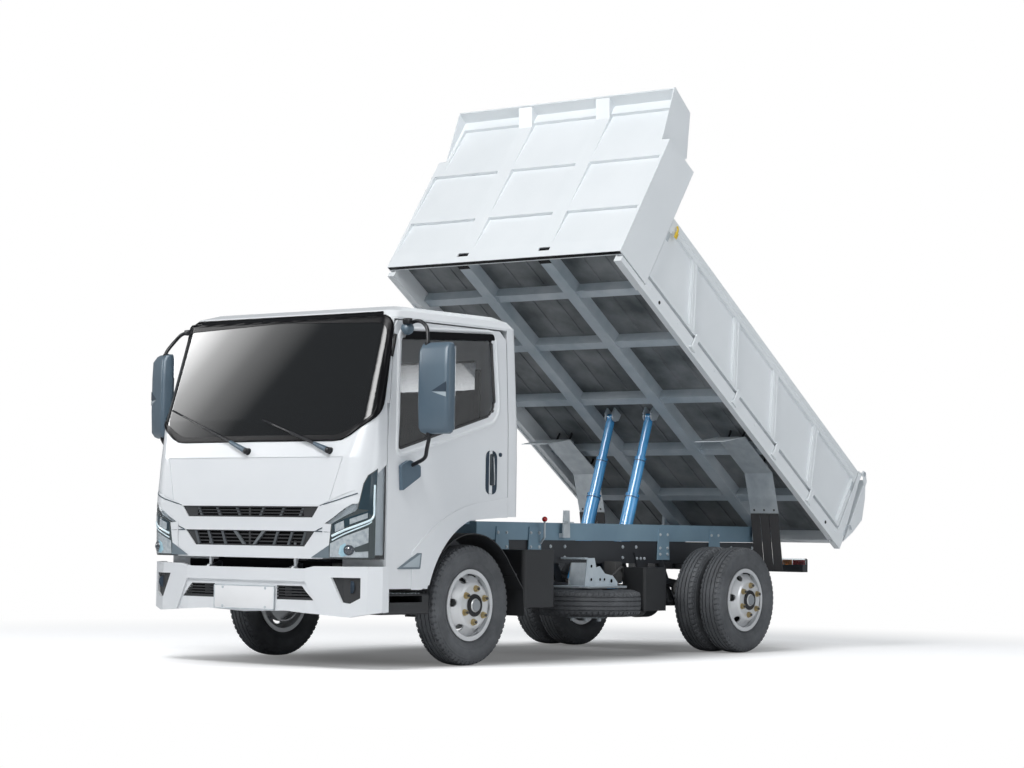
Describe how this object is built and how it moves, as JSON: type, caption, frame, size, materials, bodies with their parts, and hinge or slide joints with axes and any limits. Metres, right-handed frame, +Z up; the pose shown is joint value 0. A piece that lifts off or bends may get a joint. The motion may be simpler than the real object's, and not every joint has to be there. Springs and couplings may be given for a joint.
{
  "type": "dump truck",
  "caption": "Light cab-over dump truck with a raised drop-side bed, twin telescopic lift cylinders, tilting cab and twin rear tyres.",
  "frame": {"origin": "on the ground under the middle of the truck's box, with the bed tipped as stored", "axes": "+X to the truck's left side, +Y to its rear, +Z up"},
  "size_m": [2.572, 5.5992, 3.9037],
  "materials": {
    "tyre": "matt",
    "rim_silver": "satin",
    "chassis_black": "satin",
    "subframe_grey": "satin",
    "cast_block": "matt",
    "dark_plastic": "matt",
    "exhaust_steel": "satin",
    "galvanised": "satin",
    "cab_white": "gloss",
    "glass": "clear",
    "cab_trim": "matt",
    "seat_cloth": "matt",
    "lamp_lens": "clear",
    "mirror_housing": "satin",
    "bed_silver": "satin",
    "cylinder_blue": "gloss"
  },
  "bodies": {
    "chassis": {"frame_rails": "chassis_black", "frame_crossmembers": "chassis_black", "subframe": "subframe_grey", "bed_guides": "galvanised", "front_axle_beam": "chassis_black", "rear_axle_housing": "chassis_black", "propshaft": "chassis_black", "leaf_springs": "chassis_black", "engine_block": "cast_block", "fuel_tank": "chassis_black", "side_boxes": "dark_plastic", "exhaust": "exhaust_steel", "spare_tyre": "tyre", "spare_carrier": "galvanised", "front_bumper": "cab_white", "bumper_inserts": "dark_plastic", "rear_lamp_bar": "chassis_black", "rear_lamps": "lamp_lens", "steps_and_mudguards": "dark_plastic"},
    "cab": {"cab_roof": "cab_white", "cab_rear_wall": "cab_white", "cab_front_panel": "cab_white", "cab_floor": "cab_white", "cab_glass": "glass", "cab_grilles": "dark_plastic", "headlamps": "lamp_lens", "cab_interior": "cab_trim", "seats": "seat_cloth"},
    "door_left": {"door_left": "cab_white", "door_glass_left": "glass", "mirror_left": "mirror_housing"},
    "door_right": {"door_right": "cab_white", "door_glass_right": "glass", "mirror_right": "mirror_housing"},
    "knuckle_left": {"knuckle_left": "chassis_black"},
    "knuckle_right": {"knuckle_right": "chassis_black"},
    "wheel_front_left": {"tyre_front_left": "tyre", "rim_front_left": "rim_silver"},
    "wheel_front_right": {"tyre_front_right": "tyre", "rim_front_right": "rim_silver"},
    "wheels_rear_left": {"tyres_rear_left": "tyre", "rims_rear_left": "rim_silver"},
    "wheels_rear_right": {"tyres_rear_right": "tyre", "rims_rear_right": "rim_silver"},
    "bed": {"bed_floor": "bed_silver", "bed_underframe": "bed_silver", "headboard": "bed_silver", "rear_mudguards": "galvanised", "rear_flaps": "tyre"},
    "side_board_left": {"side_board_left": "bed_silver"},
    "side_board_right": {"side_board_right": "bed_silver"},
    "tailgate": {"tailgate": "bed_silver"},
    "cylinder_barrels": {"cylinder_barrels": "cylinder_blue"},
    "cylinder_stage_1": {"cylinder_stage_1": "cylinder_blue"},
    "cylinder_stage_2": {"cylinder_stage_2": "cylinder_blue"},
    "cylinder_rods": {"cylinder_rods": "cylinder_blue"}
  },
  "joints": [
    {"name": "steer_left", "type": "hinge", "parent": "chassis", "child": "knuckle_left", "pos_m": [0.676, -1.67952, 0.375], "axis": [0, 0, 1], "range_deg": [-35, 35]},
    {"name": "steer_right", "type": "hinge", "parent": "chassis", "child": "knuckle_right", "pos_m": [-0.676, -1.67952, 0.375], "axis": [0, 0, 1], "range_deg": [-35, 35]},
    {"name": "roll_front_left", "type": "hinge", "parent": "knuckle_left", "child": "wheel_front_left", "pos_m": [0.794, -1.67952, 0.375], "axis": [1, 0, 0], "continuous": true},
    {"name": "roll_front_right", "type": "hinge", "parent": "knuckle_right", "child": "wheel_front_right", "pos_m": [-0.794, -1.67952, 0.375], "axis": [1, 0, 0], "continuous": true},
    {"name": "roll_rear_left", "type": "hinge", "parent": "chassis", "child": "wheels_rear_left", "pos_m": [0.728, 1.35048, 0.375], "axis": [1, 0, 0], "continuous": true},
    {"name": "roll_rear_right", "type": "hinge", "parent": "chassis", "child": "wheels_rear_right", "pos_m": [-0.728, 1.35048, 0.375], "axis": [1, 0, 0], "continuous": true},
    {"name": "cab_tilt", "type": "hinge", "parent": "chassis", "child": "cab", "pos_m": [0, -2.72952, 0.585], "axis": [1, 0, 0], "range_deg": [0, 45]},
    {"name": "door_left_swing", "type": "hinge", "parent": "cab", "child": "door_left", "pos_m": [0.886, -2.50152, 1.2], "axis": [0, 0, -1], "range_deg": [0, 65]},
    {"name": "door_right_swing", "type": "hinge", "parent": "cab", "child": "door_right", "pos_m": [-0.886, -2.50152, 1.2], "axis": [0, 0, 1], "range_deg": [0, 65]},
    {"name": "bed_tip", "type": "hinge", "parent": "chassis", "child": "bed", "pos_m": [0, 2.24648, 0.81], "axis": [-1, 0, 0], "range_deg": [-34.1, 7.9]},
    {"name": "side_board_left_drop", "type": "hinge", "parent": "bed", "child": "side_board_left", "pos_m": [1.036, 1.10745, 1.67296], "axis": [0, 0.8281, -0.5606], "range_deg": [0, 170]},
    {"name": "side_board_right_drop", "type": "hinge", "parent": "bed", "child": "side_board_right", "pos_m": [-1.036, 1.10745, 1.67296], "axis": [0, -0.8281, 0.5606], "range_deg": [0, 170]},
    {"name": "tailgate_swing", "type": "hinge", "parent": "bed", "child": "tailgate", "pos_m": [0, 2.759, 1.30835], "axis": [1, 0, 0], "range_deg": [0, 80]},
    {"name": "cylinder_lean", "type": "hinge", "parent": "chassis", "child": "cylinder_barrels", "pos_m": [0, 0.75448, 0.46], "axis": [-1, 0, 0], "range_deg": [-5.35, 1.32]},
    {"name": "cylinder_slide_1", "type": "slide", "parent": "cylinder_barrels", "child": "cylinder_stage_1", "axis": [0, 0.328, 0.9447], "range_m": [-0.2696, 0.0632]},
    {"name": "cylinder_slide_2", "type": "slide", "parent": "cylinder_stage_1", "child": "cylinder_stage_2", "axis": [0, 0.328, 0.9447], "range_m": [-0.2696, 0.0632]},
    {"name": "cylinder_slide_3", "type": "slide", "parent": "cylinder_stage_2", "child": "cylinder_rods", "axis": [0, 0.328, 0.9447], "range_m": [-0.2696, 0.0632]}
  ],
  "couplings": [
    {"joint": "steer_right", "follows": "steer_left", "ratio": 1},
    {"joint": "cylinder_lean", "follows": "bed_tip", "ratio": 0.15397},
    {"joint": "cylinder_slide_1", "follows": "bed_tip", "m_per_rad": 0.45134},
    {"joint": "cylinder_slide_2", "follows": "bed_tip", "m_per_rad": 0.45134},
    {"joint": "cylinder_slide_3", "follows": "bed_tip", "m_per_rad": 0.45134}
  ]
}
